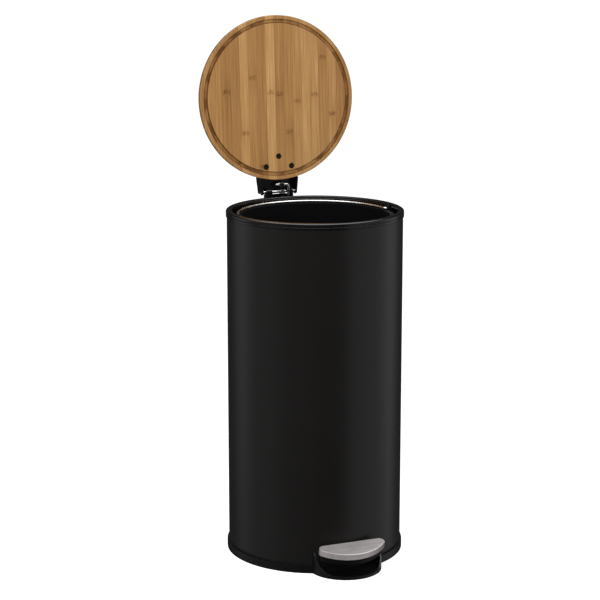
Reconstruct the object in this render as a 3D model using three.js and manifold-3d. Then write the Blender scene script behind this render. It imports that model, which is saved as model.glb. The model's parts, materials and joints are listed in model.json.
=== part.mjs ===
// Pedal trash can: a round painted-steel body on a plastic base, a bamboo lid on a rear hinge, and a foot
// pedal whose lever pushes a lift rod up the back to open the lid. An inner bucket with a wire handle lifts out.
// Millimetres, +Z up, the floor at Z = 0, the body's axis on Z and the pedal towards -Y.
// It is drawn with the lid wide open and the pedal down.
import * as THREE from 'three';
import Module from 'manifold-3d';

const wasm = await Module();
wasm.setup();

// Clearances
const fit = 0.3; // between pieces that touch
const legGap = 1.15; // around the rod's upper leg, which wanders a little in its fork

// Body
const bodyRadius = 146;
const rimHeight = 582;
const shellWall = 0.8;
const plasticWall = 2.5;

// Top ring
const ringHeight = 10.5;
const ringOverhang = 1.5;
const ringInset = 9; // from the body's outside to the ring's opening
const ringDepth = 4; // how far the ring's inner skirt hangs below its outer one

// Base
const baseHeight = 14;
const baseOverhang = 3;
const floorBottom = 1;
const floorTop = 3.5;
const guardRadius = 60.5;
const guardCentre = 16 - bodyRadius;
const guardFrontHeight = 6;
const guardBackHeight = 37;
const seatPostRadius = 5;
const seatCircle = bodyRadius - 46;
const footRadius = 9;
const footCircle = bodyRadius - 18;
const footInset = 1.2;

// Lid
const lidRadius = bodyRadius - 5.5;
const lidThickness = 12;
const grooveOuter = lidRadius - 7;
const grooveWidth = 6.5;
const grooveDepth = 3.5;

// Hinge and lift
const hingeY = bodyRadius + 15.5;
const hingeZ = rimHeight + 6;
const pinRadius = 2.5;
const openAngle = THREE.MathUtils.degToRad(93.5);
const liftArm = 12; // from the hinge pin to the rod's upper leg
const rodRadius = 2.5;
const rodBend = 4.5;
const bracketHalfWidth = 34;
const rodX = bracketHalfWidth - 15.5;
const bracketWall = 2.5;
const bracketTop = 8.5; // how far the bracket stands above the lid
const screwSpread = bracketHalfWidth - 10.5;
const screwRows = [[0, lidRadius - 40.5], [-screwSpread, lidRadius - 23], [screwSpread, lidRadius - 23]];

// Rear column
const columnHalfWidth = 30;
const columnBack = bodyRadius + 34;
const columnTop = rimHeight - 44;
const hingeBaseBottom = columnTop + fit;
const hingeBaseTop = rimHeight - 9;

// Pedal lever
const pivotZ = 33;
const leverWidth = 24;
const leverThickness = 4;
const leverFront = -bodyRadius - 30;
const leverPinRadius = 3;

// Pedal
const pedalBack = -bodyRadius - 4.5;
const pedalHalfWidth = 58;
const pedalDepth = 38;
const pedalCorner = 9;
const pedalTilt = THREE.MathUtils.degToRad(14);
const pedalTopZ = 52.5; // at its back edge
const capSheet = 0.8;
const capSkirt = 10.5;
const pedalHeight = 22;

// Bucket
const bucketFloor = 54;
const bucketTopRadius = bodyRadius - 20;
const bucketBottomRadius = bucketTopRadius - 10;
const bucketRimBelow = 9.3; // below the top ring's top
const bucketWall = 1.8;
const bucketRim = 5.5;
const bailWire = 2;
const bailRadius = bucketTopRadius + 1.5;

// Worked out from the sizes above
const ringInner = bodyRadius - ringInset;
const ringOuter = bodyRadius + ringOverhang;
const baseOuter = bodyRadius + baseOverhang;
const lidBottom = rimHeight + 0.4;
const lidTop = lidBottom + lidThickness;
const rodDrop = liftArm * (1 - Math.cos(openAngle));
const leverTilt = Math.asin(rodDrop / 2 / hingeY);
const leverReach = hingeY / Math.cos(leverTilt);
const rodFoot = pivotZ + leverReach * Math.sin(leverTilt);
const rodLength = hingeZ + liftArm - rodFoot;
const bucketTop = rimHeight - bucketRimBelow;
const bailHeight = bucketTop + bailWire + fit;

const rounds = 72;

// ---- building blocks ------------------------------------------------------------------------------------

// A closed geometry as a manifold solid.
function solid(geometry) {
  const flat = geometry.index ? geometry.toNonIndexed() : geometry;
  const points = flat.getAttribute('position').array;
  const mesh = new wasm.Mesh({
    numProp: 3,
    vertProperties: new Float32Array(points),
    triVerts: Uint32Array.from({ length: points.length / 3 }, (_, i) => i),
  });
  mesh.merge();
  return new wasm.Manifold(mesh);
}

// A manifold solid as a geometry.
function geometryOf(manifold) {
  const mesh = manifold.getMesh();
  const geometry = new THREE.BufferGeometry();
  geometry.setAttribute('position', new THREE.BufferAttribute(mesh.vertProperties, 3));
  geometry.setIndex(new THREE.BufferAttribute(mesh.triVerts, 1));
  return geometry;
}

function cylinder(radius, from, to, segments = 32) {
  const geometry = new THREE.CylinderGeometry(radius, radius, to - from, segments);
  geometry.rotateX(Math.PI / 2);
  return solid(geometry.translate(0, 0, (from + to) / 2));
}

// A cylinder along X, centred on a point of the YZ plane.
function crossPin(radius, fromX, toX, y, z, segments = 20) {
  const geometry = new THREE.CylinderGeometry(radius, radius, toX - fromX, segments);
  geometry.rotateZ(Math.PI / 2);
  return solid(geometry.translate((fromX + toX) / 2, y, z));
}

function box(fromX, toX, fromY, toY, fromZ, toZ) {
  const geometry = new THREE.BoxGeometry(toX - fromX, toY - fromY, toZ - fromZ);
  return solid(geometry.translate((fromX + toX) / 2, (fromY + toY) / 2, (fromZ + toZ) / 2));
}

// An outline in the XY plane raised from one height to another.
function prism(shape, from, to, curveSegments = 8) {
  const geometry = new THREE.ExtrudeGeometry(shape, { depth: to - from, bevelEnabled: false, curveSegments });
  return solid(geometry.translate(0, 0, from));
}

// An outline in the YZ plane, stretched along X.
function sidePrism(points, fromX, toX) {
  const shape = new THREE.Shape(points.map(([y, z]) => new THREE.Vector2(y, z)));
  const geometry = new THREE.ExtrudeGeometry(shape, { depth: toX - fromX, bevelEnabled: false });
  geometry.translate(0, 0, fromX);
  const turn = new THREE.Matrix4().makeBasis(
    new THREE.Vector3(0, 1, 0), new THREE.Vector3(0, 0, 1), new THREE.Vector3(1, 0, 0),
  );
  return solid(geometry.applyMatrix4(turn));
}

// A profile of [radius, height] points, turned about Z.
function turned(profile, segments = rounds) {
  const points = profile.map(([r, z]) => new THREE.Vector2(r, z));
  return new THREE.LatheGeometry(points, segments).rotateX(Math.PI / 2);
}

// A ring of rectangular section.
function hoop(inner, outer, from, to, segments = rounds) {
  return solid(turned([[inner, from], [outer, from], [outer, to], [inner, to], [inner, from]], segments));
}

// A rectangle with round corners.
function roundedRect(fromX, toX, fromY, toY, radius) {
  const shape = new THREE.Shape();
  shape.absarc(toX - radius, fromY + radius, radius, -Math.PI / 2, 0);
  shape.absarc(toX - radius, toY - radius, radius, 0, Math.PI / 2);
  shape.absarc(fromX + radius, toY - radius, radius, Math.PI / 2, Math.PI);
  shape.absarc(fromX + radius, fromY + radius, radius, Math.PI, 1.5 * Math.PI);
  return shape;
}

// A wire's path through its corners, with each corner bent to the same radius.
class WirePath extends THREE.Curve {
  constructor(corners, bend, steps = 5) {
    super();
    this.points = [corners[0]];
    for (let i = 1; i < corners.length - 1; i += 1) {
      this.points.push(...WirePath.corner(corners[i - 1], corners[i], corners[i + 1], bend, steps));
    }
    this.points.push(corners[corners.length - 1]);
  }

  static corner(before, at, after, bend, steps) {
    const arriving = new THREE.Vector3().subVectors(at, before).normalize();
    const leaving = new THREE.Vector3().subVectors(after, at).normalize();
    const turn = arriving.angleTo(leaving);
    const start = at.clone().addScaledVector(arriving, -bend * Math.tan(turn / 2));
    const inward = leaving.clone().addScaledVector(arriving, -leaving.dot(arriving)).normalize();
    return Array.from({ length: steps + 1 }, (_, i) => {
      const a = (turn * i) / steps;
      return start.clone().addScaledVector(arriving, bend * Math.sin(a))
        .addScaledVector(inward, bend * (1 - Math.cos(a)));
    });
  }

  getPoint(t, target = new THREE.Vector3()) {
    const at = t * (this.points.length - 1);
    const i = Math.min(Math.floor(at), this.points.length - 2);
    return target.lerpVectors(this.points[i], this.points[i + 1], at - i);
  }

  getUtoTmapping(u) {
    return u;
  }
}

function wire(path, radius, sides = 12) {
  const section = new THREE.Shape().absarc(0, 0, radius, 0, 2 * Math.PI);
  return new THREE.ExtrudeGeometry(section, {
    extrudePath: path, steps: path.points.length - 1, curveSegments: sides / 2, bevelEnabled: false,
  });
}

const metals = {
  steel: { color: 0xb9b7b3, roughness: 0.35, metalness: 1 },
  brushed: { color: 0xa19c99, roughness: 0.38, metalness: 1 },
  paint: { color: 0x1b1a1a, roughness: 0.55, metalness: 0.1 },
};
const plastics = {
  black: { color: 0x141414, roughness: 0.5, metalness: 0 },
  gloss: { color: 0x0c0c0c, roughness: 0.18, metalness: 0 },
  bucket: { color: 0x1d1e22, roughness: 0.6, metalness: 0 },
  rubber: { color: 0x101010, roughness: 0.9, metalness: 0 },
};
const bamboo = { color: 0xaa8050, roughness: 0.5, metalness: 0 };

const group = new THREE.Group();

// Adds one named piece, placed at a point and turned about X.
function piece(name, geometry, look, at = [0, 0, 0], turnX = 0) {
  const mesh = new THREE.Mesh(geometry, new THREE.MeshStandardMaterial(look));
  mesh.name = name;
  mesh.position.set(...at);
  mesh.rotation.x = turnX;
  group.add(mesh);
}

// ---- base -----------------------------------------------------------------------------------------------

// The round base, with the pedal guard in front and the column's heel behind. The guard's wall is low in
// front and sweeps up to the body.
function base() {
  const guard = cylinder(guardRadius, floorBottom, guardBackHeight, 48).translate(0, guardCentre, 0);
  const front = guardCentre - guardRadius - 1;
  const back = -bodyRadius + 8;
  const edge = Array.from({ length: 13 }, (_, i) => {
    const t = 1 - i / 12;
    return [front + (back - front) * t, guardFrontHeight + (guardBackHeight - guardFrontHeight) * t ** 3];
  });
  const slope = sidePrism([
    [front, 0], [guardCentre + guardRadius, 0], [guardCentre + guardRadius, guardBackHeight], ...edge,
  ], -guardRadius - 1, guardRadius + 1);
  const guardInside = cylinder(guardRadius - plasticWall, floorTop, guardBackHeight + 1, 48)
    .translate(0, guardCentre, 0).subtract(cylinder(baseOuter, 0, baseHeight, rounds));
  const shellSpace = cylinder(bodyRadius + fit, baseHeight, guardBackHeight + 2, rounds);

  const tail = columnHalfWidth + fit + plasticWall;
  const tailEnd = columnBack + fit + plasticWall;
  const tailStart = bodyRadius - 26;
  const heel = prism(roundedRect(-tail, tail, tailStart, tailEnd, 11), floorBottom, baseHeight);
  const heelInside = prism(
    roundedRect(-tail + plasticWall, tail - plasticWall, tailStart, tailEnd - plasticWall, 8.5),
    floorTop, baseHeight + 1,
  ).subtract(cylinder(baseOuter, 0, baseHeight + 2, rounds));

  const groove = hoop(bodyRadius - shellWall - fit, bodyRadius + fit, 6, baseHeight + 1);
  const inside = cylinder(bodyRadius - shellWall - fit - plasticWall, floorTop, baseHeight + 1, rounds);
  const drum = cylinder(baseOuter, floorBottom, baseHeight, rounds);

  let result = drum.add(guard.intersect(slope)).add(heel)
    .subtract(shellSpace).subtract(guardInside).subtract(heelInside).subtract(groove).subtract(inside);
  for (let i = 0; i < 4; i += 1) {
    const a = Math.PI / 4 + (i * Math.PI) / 2;
    const post = cylinder(seatPostRadius, floorTop - 0.5, bucketFloor - fit, 20);
    result = result.add(post.translate(seatCircle * Math.cos(a), seatCircle * Math.sin(a), 0));
    result = result.subtract(footPocket().translate(footCircle * Math.cos(a), footCircle * Math.sin(a), 0));
  }
  result = result.subtract(footPocket());
  for (const x of leverBracketScrews) {
    result = result.subtract(cylinder(2 + fit, 2.4, floorTop + 1, 16).translate(x, 0, 0));
  }
  return geometryOf(result);
}

function footPocket() {
  return cylinder(footRadius + fit, 0, floorBottom + footInset, 28);
}

function footPad() {
  const top = floorBottom + footInset - fit;
  const edge = 0.4;
  return turned([[0, 0], [footRadius - edge, 0], [footRadius, edge], [footRadius, top], [0, top]], 28);
}

// ---- body -----------------------------------------------------------------------------------------------

// Rolled steel tube, with a slot in front for the lever and one behind for its rear end.
function outerShell() {
  const bottom = 6 + fit;
  const top = rimHeight - 6;
  const half = leverWidth / 2 + 1.5;
  const swing = leverTilt * bodyRadius + leverThickness / 2 + 2.2;
  const slot = (fromY, toY) => box(-half, half, fromY, toY, pivotZ - swing, pivotZ + swing);
  return geometryOf(hoop(bodyRadius - shellWall, bodyRadius, bottom, top)
    .subtract(slot(-bodyRadius - 5, -bodyRadius + 12))
    .subtract(slot(bodyRadius - 12, bodyRadius + 5))
    .subtract(backHole(0, columnScrewHeights[0])).subtract(backHole(0, columnScrewHeights[1]))
    .subtract(backHole(hingeScrews[0], hingeScrewHeight))
    .subtract(backHole(hingeScrews[1], hingeScrewHeight)));
}

// Moulded ring over the tube's top edge: two beads outside, and a round inner lip.
function topRing() {
  const low = rimHeight - ringHeight;
  const top = rimHeight;
  return turned([
    [ringInner, low - ringDepth], [ringInner + 2, low - ringDepth],
    [bodyRadius - shellWall - fit - 1, low], [bodyRadius - shellWall - fit, low],
    [bodyRadius - shellWall - fit, top - 5.5], [bodyRadius + fit, top - 5.5], [bodyRadius + fit, low],
    [ringOuter - 0.5, low], [ringOuter, low + 1], [ringOuter, low + 2.6], [ringOuter - 0.5, low + 3.4],
    [ringOuter - 0.5, low + 4], [ringOuter, low + 4.8], [ringOuter, top - 2.2], [ringOuter - 0.6, top - 0.7],
    [ringOuter - 2, top], [ringInner + 1.6, top], [ringInner + 0.4, top - 0.5], [ringInner, top - 1.6],
    [ringInner, low - ringDepth],
  ]);
}

// Channel-shaped cover over the lift rod, from the base's heel to the hinge base.
function rearColumn() {
  const bottom = floorTop + fit;
  const wall = 2.2;
  const outside = prism(
    roundedRect(-columnHalfWidth, columnHalfWidth, bodyRadius - 46, columnBack, 9), bottom, columnTop,
  );
  const inside = prism(
    roundedRect(-columnHalfWidth + wall, columnHalfWidth - wall, bodyRadius - 56, columnBack - wall, 7),
    bottom + wall, columnTop + 1,
  );
  const clampBlock = box(-14, -2, hingeY + 3, columnBack - 1, damperBottom - 8, damperBottom - 2);
  let result = outside.subtract(inside).add(clampBlock)
    .subtract(cylinder(bodyRadius + fit, baseHeight, columnTop + 1, rounds))
    .subtract(cylinder(baseOuter + fit, 0, baseHeight + fit, rounds));
  for (const z of columnScrewHeights) {
    result = result.add(alongY(5, bodyRadius + 1, columnBack - 1, 0, z)).subtract(backHole(0, z));
  }
  return geometryOf(result);
}

const columnScrewHeights = [60, columnTop - 58];

// A cylinder along Y, centred on a point of the XZ plane.
function alongY(radius, fromY, toY, x, z, segments = 16) {
  const geometry = new THREE.CylinderGeometry(radius, radius, toY - fromY, segments);
  return solid(geometry.translate(x, (fromY + toY) / 2, z));
}

// A hole for a screw driven in from behind.
function backHole(x, z) {
  return alongY(2 + fit, bodyRadius - 20, columnBack + 5, x, z);
}

// Pan-head screw, its head outwards along +Y at the origin.
function panScrew(length) {
  const half = [[0, -length], [1.4, -length], [2, -length + 1.2], [2, 0], [4, 0], [4, 1], [3.4, 2], [2.2, 2.5]];
  const profile = [...half, [0, 2.5]].map(([r, y]) => new THREE.Vector2(r, y));
  const socket = new THREE.BoxGeometry(4, 1.4, 0.9).translate(0, 2.3, 0);
  const cross = new THREE.BoxGeometry(0.9, 1.4, 4).translate(0, 2.3, 0);
  return geometryOf(solid(new THREE.LatheGeometry(profile, 16)).subtract(solid(socket)).subtract(solid(cross)));
}

// ---- hinge ----------------------------------------------------------------------------------------------

const knuckles = [[-bracketHalfWidth + 10, -bracketHalfWidth + 21], [rodX + 3.5, rodX + 7]];
const hingeScrews = [-columnHalfWidth + 6, columnHalfWidth - 6];
const hingeScrewHeight = columnTop + 17;
const hingeScrewSeat = hingeY + 4;

// Block on top of the column, with two knuckles for the pin, a well for the rod between them and a wall behind.
function hingeBase() {
  const front = bodyRadius - 26;
  const back = columnBack - 6;
  const outline = roundedRect(-columnHalfWidth - 1, columnHalfWidth + 1, front, back, 8);
  let result = prism(outline, hingeBaseBottom, hingeBaseTop);
  for (const [from, to] of knuckles) {
    const boss = crossPin(5.2, from, to, hingeY, hingeZ, 28);
    const stem = box(from, to, hingeY - 5.2, hingeY + 5.2, hingeBaseTop - 4, hingeZ);
    result = result.add(boss).add(stem);
  }
  const wallTop = hingeZ - 5; // under the open lid's bracket
  result = result.add(box(knuckles[0][0], knuckles[1][1], hingeY + 5.2, hingeY + 9, hingeBaseTop - 4, wallTop));
  const well = prism(
    roundedRect(knuckles[0][1], knuckles[1][0], front - 9, hingeY + 5.2, 3), hingeBaseBottom - 1, hingeBaseTop + 1,
  );
  result = result.subtract(well).subtract(crossPin(pinRadius + fit, -40, 40, hingeY, hingeZ, 24))
    .subtract(cylinder(ringOuter + fit, hingeBaseBottom - 1, hingeBaseTop + 1, rounds));
  for (const x of hingeScrews) {
    result = result.subtract(backHole(x, hingeScrewHeight))
      .subtract(alongY(4 + fit, hingeScrewSeat, back + 1, x, hingeScrewHeight, 20));
  }
  return geometryOf(result);
}

// The pin is in two lengths, which leave room between them for the lift rod.
const hingePins = [[-bracketHalfWidth + 1.6, rodX - 5.5], [rodX + 3.6, bracketHalfWidth - 1.6]];

function hingePin([from, to]) {
  return geometryOf(crossPin(pinRadius, from, to, 0, 0, 24));
}

// Square collar that keeps the long pin in its place.
function pinCollar() {
  const half = pinRadius + 1.2;
  const from = rodX - 16;
  const to = rodX - 8;
  return geometryOf(box(from, to, -half, half, -half, half)
    .subtract(crossPin(pinRadius + 0.1, from - 1, to + 1, 0, 0, 24)));
}

// Spring clip in the groove at a pin's end, open downwards.
function pinClip(radius, thickness, width = 2.2) {
  const outer = radius + width;
  const ring = crossPin(outer, -thickness / 2, thickness / 2, 0, 0, 28)
    .subtract(crossPin(radius + fit, -thickness, thickness, 0, 0, 24));
  const mouth = radius * 0.7;
  return geometryOf(ring.subtract(box(-thickness, thickness, -mouth, mouth, -outer - 1, 0)));
}

// ---- lid ------------------------------------------------------------------------------------------------
// The lid's pieces are drawn closed, from the hinge pin, and turned open together.

function lidPiece(name, geometry, look) {
  geometry.translate(0, -hingeY, -hingeZ);
  piece(name, geometry, look, [0, hingeY, hingeZ], -openAngle);
}

// Glued bamboo disc with a routed groove under its edge and a round upper edge.
function lidBoard() {
  const round = 4.5;
  const ease = 1;
  const arc = Array.from({ length: 6 }, (_, i) => {
    const a = (i * Math.PI) / 10;
    return [lidRadius - round + round * Math.cos(a), lidTop - round + round * Math.sin(a)];
  });
  const grooveTop = lidBottom + grooveDepth;
  let result = solid(turned([
    [0, lidBottom], [grooveOuter - grooveWidth, lidBottom], [grooveOuter - grooveWidth, grooveTop],
    [grooveOuter, grooveTop], [grooveOuter, lidBottom], [lidRadius - ease, lidBottom],
    [lidRadius, lidBottom + ease], ...arc, [0, lidTop],
  ]));
  for (const [x, y] of screwRows) {
    result = result.subtract(countersunk(fit, lidTop + 1 - lidBottom).translate(x, y, lidBottom));
  }
  return geometryOf(result);
}

// A countersunk screw's outline, head down at Z = 0 and flush, larger all round by a margin.
function countersunk(margin, length) {
  const head = 4.8 + margin;
  const shank = 2 + margin;
  const depth = head - shank;
  const below = margin > 0 ? -1 : 0.1;
  return solid(turned([
    [0, below], [head, below], [head, 0.35], [shank, depth + 0.35], [shank, length], [0, length],
  ], 24));
}

function lidScrew() {
  const driver = box(-2.2, 2.2, -0.5, 0.5, -1, 1.1).add(box(-0.5, 0.5, -2.2, 2.2, -1, 1.1));
  return countersunk(0, lidThickness + bracketTop - 4).subtract(driver);
}

// Plan of the bracket: widest over the lid's edge, narrower at the pin, round in front.
function bracketPlan(inset) {
  const wide = bracketHalfWidth + 1.5 - inset;
  const narrow = bracketHalfWidth - 1.5 - inset;
  const back = hingeY + 3 - inset;
  const front = lidRadius - 52.5 + inset;
  const radius = 12 - inset;
  const shape = new THREE.Shape();
  shape.moveTo(narrow, back);
  shape.lineTo(-narrow, back);
  shape.lineTo(-wide, lidRadius - 2.5);
  shape.lineTo(-narrow + 3, front + radius);
  shape.absarc(-narrow + 3 + radius, front + radius, radius, Math.PI, 1.5 * Math.PI);
  shape.absarc(narrow - 3 - radius, front + radius, radius, 1.5 * Math.PI, 2 * Math.PI);
  shape.lineTo(wide, lidRadius - 2.5);
  return shape;
}

// Hollow moulding screwed on top of the lid, with a lobe each side for the pin and a fork for the rod inside.
function lidBracket() {
  const low = hingeZ - 5;
  const over = lidTop + fit;
  const top = lidTop + bracketTop;
  const screwEnd = lidBottom + lidThickness + bracketTop - 3;
  const behindLid = cylinder(lidRadius + 1, low - 1, over, rounds);
  const rearOpen = box(
    -bracketHalfWidth + 5, bracketHalfWidth - 5, hingeY, hingeY + 10, low - 1, hingeZ + 6.5,
  );
  let result = prism(bracketPlan(0), low, top, 10)
    .subtract(prism(bracketPlan(bracketWall), low - 1, top - bracketWall, 10))
    .subtract(behindLid).subtract(rearOpen).add(liftFork(top - 1));
  for (const [x, y] of screwRows) {
    result = result.add(cylinder(5, over, top - 1, 20).translate(x, y, 0))
      .subtract(cylinder(2 + fit, over - 1, screwEnd, 16).translate(x, y, 0));
  }
  for (const side of [-1, 1]) {
    const lobe = [side * (bracketHalfWidth - 4.5), side * (bracketHalfWidth - 1.8)].sort((a, b) => a - b);
    result = result.add(crossPin(5, ...lobe, hingeY, hingeZ, 28));
  }
  return geometryOf(result.subtract(crossPin(pinRadius + fit, -60, 60, hingeY, hingeZ, 24)));
}

// Fork that the rod's upper leg pushes up in, open towards the pin so that the leg can travel in it.
function liftFork(top) {
  const from = rodX - 17.5;
  const to = from + 8;
  const slot = rodRadius + legGap;
  const outer = slot + 1.3;
  const tip = hingeY - 6;
  const legY = hingeY - liftArm * Math.sin(openAngle);
  const legZ = hingeZ - 0.6; // half way between the leg's highest and lowest place in the fork
  return crossPin(outer, from, to, legY, legZ, 28)
    .add(box(from, to, legY, tip, legZ - outer, legZ + outer))
    .add(box(from, to, legY - outer, tip, legZ, top))
    .subtract(crossPin(slot, from - 1, to + 1, legY, legZ, 24))
    .subtract(box(from - 1, to + 1, legY, tip + 1, legZ - slot, legZ + slot));
}

// ---- lift rod -------------------------------------------------------------------------------------------

// Steel rod with a leg bent at each end, from its lower leg at the origin.
function liftRod() {
  const corners = [[rodX - 14.5, 0, 0], [rodX, 0, 0], [rodX, 0, rodLength], [rodX - 24.5, 0, rodLength]];
  const path = new WirePath(corners.map((p) => new THREE.Vector3(...p)), rodBend);
  return wire(path, rodRadius);
}

// Clamp on the rod, with a finger that reaches the damper.
function rodCollar() {
  const blockHalf = 5.5;
  const clamp = box(rodX - blockHalf, rodX + blockHalf, -blockHalf, blockHalf, 0, 9);
  const finger = box(damperX - 5, rodX, -4, 4, 0, 5);
  return geometryOf(clamp.add(finger).subtract(cylinder(rodRadius + 0.1, -1, 10, 16).translate(rodX, 0, 0)));
}

// ---- damper ---------------------------------------------------------------------------------------------

const damperX = -8;
const damperRadius = 7;
const damperBottom = 88;
const damperLength = 70;
const plungerOut = 24;

function damperBody() {
  return turned([
    [0, damperBottom], [damperRadius - 1, damperBottom], [damperRadius, damperBottom + 1],
    [damperRadius, damperBottom + damperLength - 1.5], [damperRadius - 1.5, damperBottom + damperLength],
    [2.4, damperBottom + damperLength], [2.4, damperBottom + 8], [0, damperBottom + 8],
  ], 28);
}

function damperPlunger() {
  const top = damperBottom + damperLength + plungerOut;
  const low = damperBottom + 8 + plungerOut;
  return turned([[0, low], [2, low], [2, top - 3], [4.5, top - 2.5], [4.5, top], [0, top]], 20);
}

// Saddle that holds the damper inside the column.
function damperClamp() {
  const from = damperBottom + 22;
  const outer = damperRadius + 2.8;
  const ring = hoop(damperRadius + 0.1, outer, from, from + 14, 28);
  const foot = box(-outer, outer, damperRadius + 1.5, columnBack - 2.2 - fit - hingeY, from, from + 14);
  return geometryOf(ring.add(foot.subtract(cylinder(damperRadius + 0.1, from - 1, from + 15, 28))));
}

// ---- pedal lever ----------------------------------------------------------------------------------------
// Drawn level, from its pivot.

const leverBracketScrews = [-22, 22];
const bracketEar = 15;

function leverBracket() {
  const bottom = floorTop + fit;
  const sheet = 2;
  const plate = box(-27, 27, -14, 14, bottom, bottom + sheet);
  const ear = (x) => box(x - sheet / 2, x + sheet / 2, -9, 9, bottom, pivotZ)
    .add(crossPin(9, x - sheet / 2, x + sheet / 2, 0, pivotZ, 28));
  let result = plate.add(ear(-bracketEar)).add(ear(bracketEar))
    .subtract(crossPin(leverPinRadius + fit, -30, 30, 0, pivotZ, 24));
  for (const x of leverBracketScrews) {
    result = result.subtract(cylinder(2 + fit, 0, bottom + sheet + 1, 16).translate(x, 0, 0));
  }
  return geometryOf(result);
}

function leverPin() {
  return geometryOf(crossPin(leverPinRadius, -20, 20, 0, 0, 24));
}

// Flat steel bar with a bush at the pivot and an upright ear for the rod.
function pedalLever() {
  const half = leverThickness / 2;
  const bar = box(-leverWidth / 2, leverWidth / 2, leverFront, leverReach - 9, -half, half);
  const bush = crossPin(leverPinRadius + 3, -bracketEar + 1.6, bracketEar - 1.6, 0, 0, 28);
  const earFrom = rodX - 10.5;
  const earTo = rodX - 6.5;
  const ear = box(earFrom, earTo, leverReach - 14, leverReach, -half, half)
    .add(crossPin(7, earFrom, earTo, leverReach, 0, 28));
  let result = bar.add(bush).add(ear)
    .subtract(crossPin(leverPinRadius + fit, -30, 30, 0, 0, 24))
    .subtract(crossPin(rodRadius + fit, 0, 20, leverReach, 0, 24));
  for (const y of pedalScrewRows) {
    result = result.subtract(cylinder(2 + fit, -half - 1, half + 1, 16).translate(0, y, 0));
  }
  return geometryOf(result);
}

const pedalScrewRows = [pedalBack - 7.5, pedalBack - 19.5];

// ---- pedal ----------------------------------------------------------------------------------------------
// The half-round plan has its straight back edge on Y = 0 and its top on Z = 0, before it is tilted.

function pedalPlan(inset) {
  const radius = ((pedalHalfWidth - pedalCorner) ** 2 / (pedalDepth - 2 * pedalCorner) + pedalDepth) / 2;
  const centre = radius - pedalDepth;
  const corner = Math.max(pedalCorner - inset, 1);
  const cornerY = -inset - corner;
  const front = radius - inset;
  const cornerX = Math.sqrt((front - corner) ** 2 - (centre - cornerY) ** 2);
  const meet = Math.atan2(cornerY - centre, cornerX);
  const shape = new THREE.Shape();
  shape.moveTo(cornerX, -inset);
  shape.lineTo(-cornerX, -inset);
  shape.absarc(-cornerX, cornerY, corner, Math.PI / 2, Math.PI - meet);
  shape.absarc(0, centre, front, Math.PI - meet, 2 * Math.PI + meet);
  shape.absarc(cornerX, cornerY, corner, 2 * Math.PI + meet, 2.5 * Math.PI);
  return shape;
}

// Drawn sheet cap: its edge turns down all round.
function pedalCap() {
  const edge = 1.6;
  const bevel = new THREE.ExtrudeGeometry(pedalPlan(edge), {
    depth: capSkirt - edge, bevelSize: edge, bevelThickness: edge, bevelSegments: 2, curveSegments: 10,
  });
  const outside = solid(bevel.translate(0, 0, -capSkirt));
  const below = box(-70, 70, -60, 10, -capSkirt - 5, -capSkirt + 0.01);
  const inside = prism(pedalPlan(capSheet), -capSkirt - 1, -capSheet, 10);
  return geometryOf(outside.subtract(below).subtract(inside));
}

// Moulded body under the cap, hollow below around the end of the lever.
function pedalBody() {
  const top = -capSheet - fit;
  const upper = prism(pedalPlan(capSheet + fit), -capSkirt - 0.5, top, 10);
  const lower = prism(pedalPlan(capSheet + fit + 2.4), -pedalHeight, -capSkirt, 10);
  const hollow = prism(pedalPlan(capSheet + fit + 5.4), -pedalHeight - 1, -14, 10)
    .add(box(-leverWidth / 2 - 1, leverWidth / 2 + 1, -30, 5, -pedalHeight - 1, -14));
  return upper.add(lower).subtract(hollow);
}

// The pedal's tilted frame, from the lever's pivot, when the lever is level.
function onPedal(geometry) {
  const rise = pedalTopZ - pivotZ;
  const back = new THREE.Vector3(0, pedalBack, rise).applyAxisAngle(new THREE.Vector3(1, 0, 0), -leverTilt);
  geometry.rotateX(pedalTilt - leverTilt);
  return geometry.translate(back.x, back.y, back.z);
}

function bodyOnLever() {
  let result = solid(onPedal(geometryOf(pedalBody())));
  const bar = box(-leverWidth / 2 - fit, leverWidth / 2 + fit, leverFront - fit, -120,
    -leverThickness / 2 - fit, leverThickness / 2 + fit);
  result = result.subtract(bar);
  for (const y of pedalScrewRows) {
    result = result.subtract(cylinder(2 + fit, -4, 9, 16).translate(0, y, 0));
  }
  return geometryOf(result);
}

// Screw up through the lever into the pedal, its head below.
function pedalScrew() {
  const under = -leverThickness / 2 - fit;
  return turned([
    [0, under - 2.4], [3.2, under - 2.4], [3.8, under - 1.4], [3.8, under], [2, under], [2, 7], [1.4, 8], [0, 8],
  ], 20);
}

// ---- bucket ---------------------------------------------------------------------------------------------

// Tapered bucket with a flat rim and an ear each side for its handle.
function innerBucket() {
  const rimLow = bucketTop - 2.5;
  const rimOuter = bucketTopRadius + bucketRim;
  const wall = solid(turned([
    [0, bucketFloor], [bucketBottomRadius - 6, bucketFloor], [bucketBottomRadius, bucketFloor + 6],
    [bucketTopRadius, rimLow], [rimOuter, rimLow], [rimOuter, bucketTop],
    [bucketTopRadius - bucketWall + 0.8, bucketTop], [bucketTopRadius - bucketWall, bucketTop - 0.8],
    [bucketBottomRadius - bucketWall, bucketFloor + 7], [bucketBottomRadius - 7, bucketFloor + bucketWall],
    [0, bucketFloor + bucketWall],
  ]));
  const ear = (side) => {
    const plate = box(rimOuter - 1, rimOuter + 1.5, -8, 8, rimLow, bailHeight)
      .add(crossPin(6, rimOuter - 1, rimOuter + 1.5, 0, bailHeight, 28));
    return plate.rotate([0, 0, side > 0 ? 0 : 180]);
  };
  return geometryOf(wall.add(ear(1)).add(ear(-1))
    .subtract(crossPin(bailWire + 0.4, -bodyRadius, -rimOuter + 8, 0, bailHeight, 20))
    .subtract(crossPin(bailWire + 0.4, rimOuter - 8, bodyRadius, 0, bailHeight, 20)));
}

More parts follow.
